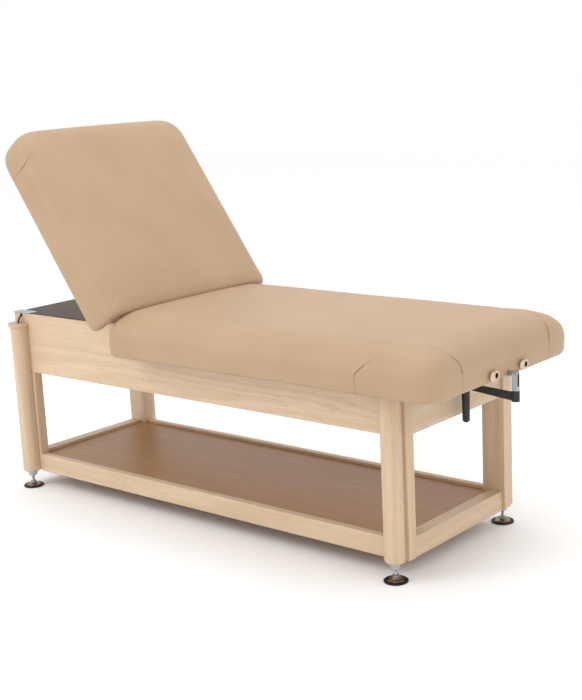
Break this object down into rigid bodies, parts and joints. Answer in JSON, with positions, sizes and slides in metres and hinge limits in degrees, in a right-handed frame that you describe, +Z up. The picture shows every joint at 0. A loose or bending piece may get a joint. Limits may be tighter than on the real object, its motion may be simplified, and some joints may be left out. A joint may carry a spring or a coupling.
{
  "type": "medical exam table",
  "caption": "Wooden treatment table on four hydraulic legs, with a lower shelf, a padded fixed seat, a tilting padded back and a folding crank.",
  "frame": {"origin": "on the floor, under the middle of the outline with the back raised", "axes": "+X along the table towards the foot end, +Y across it to the far side, +Z up"},
  "size_m": [1.915, 0.778, 1.2853],
  "materials": {
    "maple": "satin clear lacquer",
    "plywood": "plain",
    "shelf_plywood": "satin clear lacquer",
    "deck": "dark hardboard",
    "upholstery": "matte vinyl over foam",
    "hose": "satin",
    "chrome": "polished",
    "foot_metal": "plated disc over a black pad",
    "socket": "painted plate",
    "black": "satin",
    "zinc": "zinc plated"
  },
  "bodies": {
    "frame": {"apron_far": "maple", "apron_foot": "maple", "apron_head": "maple", "apron_near": "maple", "column_foot_far": "maple", "column_foot_near": "maple", "column_head_far": "maple", "column_head_near": "maple", "corner_plates": "zinc", "cross_rail_deck": "maple", "cross_rail_seat_foot": "maple", "cross_rail_seat_head": "maple", "cross_rail_strut": "maple", "deck_board": "deck", "headrest_socket_far": "socket", "headrest_socket_near": "socket", "hinge_leaf_seat": "zinc", "hoses": "hose", "hydraulic_pump": "black", "lift_cylinder_foot_far": "zinc", "lift_cylinder_foot_near": "zinc", "lift_cylinder_head_far": "zinc", "lift_cylinder_head_near": "zinc", "post_foot_far": "maple", "post_foot_near": "maple", "post_head_far": "maple", "post_head_near": "maple", "seat_board": "plywood", "seat_cushion": "upholstery", "seat_rim_far": "plywood", "seat_rim_foot": "plywood", "seat_rim_near": "plywood", "seat_skirt": "upholstery", "shelf_board": "shelf_plywood", "shelf_rail_far": "maple", "shelf_rail_foot": "maple", "shelf_rail_head": "maple", "shelf_rail_near": "maple", "strut_bracket_lower": "zinc"},
    "back": {"back_board": "plywood", "back_rim_near": "plywood", "back_rim_far": "plywood", "back_rim_head": "plywood", "back_cushion": "upholstery", "hinge_leaf_back": "zinc", "strut_bracket_upper": "zinc"},
    "strut_cylinder": {"strut_cylinder": "black"},
    "strut_rod": {"strut_rod": "zinc"},
    "crank_shaft": {"crank_shaft": "zinc"},
    "crank": {"crank_link": "zinc", "crank_arm": "black"},
    "grip": {"crank_grip": "black"},
    "lift_head_near": {"lift_rod_head_near": "chrome"},
    "foot_head_near": {"levelling_foot_head_near": "foot_metal"},
    "lift_head_far": {"lift_rod_head_far": "chrome"},
    "foot_head_far": {"levelling_foot_head_far": "foot_metal"},
    "lift_foot_near": {"lift_rod_foot_near": "chrome"},
    "foot_foot_near": {"levelling_foot_foot_near": "foot_metal"},
    "lift_foot_far": {"lift_rod_foot_far": "chrome"},
    "foot_foot_far": {"levelling_foot_foot_far": "foot_metal"}
  },
  "joints": [
    {"name": "back_tilt", "type": "hinge", "parent": "frame", "child": "back", "pos_m": [-0.3207, 0, 0.653], "axis": [0, 1, 0], "range_deg": [-55, 5]},
    {"name": "strut_cylinder_swing", "type": "hinge", "parent": "frame", "child": "strut_cylinder", "pos_m": [-0.40127, 0, 0.43757], "axis": [0, 1, 0], "range_deg": [-30, 5]},
    {"name": "strut_rod_swing", "type": "hinge", "parent": "back", "child": "strut_rod", "pos_m": [-0.47607, 0, 0.82259], "axis": [0, 1, 0], "range_deg": [-5, 30]},
    {"name": "crank_turn", "type": "hinge", "parent": "frame", "child": "crank_shaft", "pos_m": [0.9255, 0, 0.578], "axis": [1, 0, 0], "range_deg": [-60, 60]},
    {"name": "crank_fold", "type": "hinge", "parent": "crank_shaft", "child": "crank", "pos_m": [0.9455, 0, 0.578], "axis": [0, -1, 0], "range_deg": [0, 90]},
    {"name": "grip_spin", "type": "hinge", "parent": "crank", "child": "grip", "pos_m": [0.7775, 0, 0.47], "axis": [0, 0, 1], "continuous": true},
    {"name": "lift_head_near", "type": "slide", "parent": "frame", "child": "lift_head_near", "axis": [0, 0, -1], "range_m": [0, 0.25]},
    {"name": "level_head_near", "type": "slide", "parent": "lift_head_near", "child": "foot_head_near", "axis": [0, 0, -1], "range_m": [0, 0.01]},
    {"name": "lift_head_far", "type": "slide", "parent": "frame", "child": "lift_head_far", "axis": [0, 0, -1], "range_m": [0, 0.25]},
    {"name": "level_head_far", "type": "slide", "parent": "lift_head_far", "child": "foot_head_far", "axis": [0, 0, -1], "range_m": [0, 0.01]},
    {"name": "lift_foot_near", "type": "slide", "parent": "frame", "child": "lift_foot_near", "axis": [0, 0, -1], "range_m": [0, 0.25]},
    {"name": "level_foot_near", "type": "slide", "parent": "lift_foot_near", "child": "foot_foot_near", "axis": [0, 0, -1], "range_m": [0, 0.01]},
    {"name": "lift_foot_far", "type": "slide", "parent": "frame", "child": "lift_foot_far", "axis": [0, 0, -1], "range_m": [0, 0.25]},
    {"name": "level_foot_far", "type": "slide", "parent": "lift_foot_far", "child": "foot_foot_far", "axis": [0, 0, -1], "range_m": [0, 0.01]}
  ],
  "couplings": [
    {"joint": "strut_cylinder_swing", "follows": "back_tilt", "ratio": 0.5},
    {"joint": "strut_rod_swing", "follows": "back_tilt", "ratio": -0.5},
    {"joint": "lift_head_far", "follows": "lift_head_near", "ratio": 1},
    {"joint": "lift_foot_near", "follows": "lift_head_near", "ratio": 1},
    {"joint": "lift_foot_far", "follows": "lift_head_near", "ratio": 1}
  ]
}
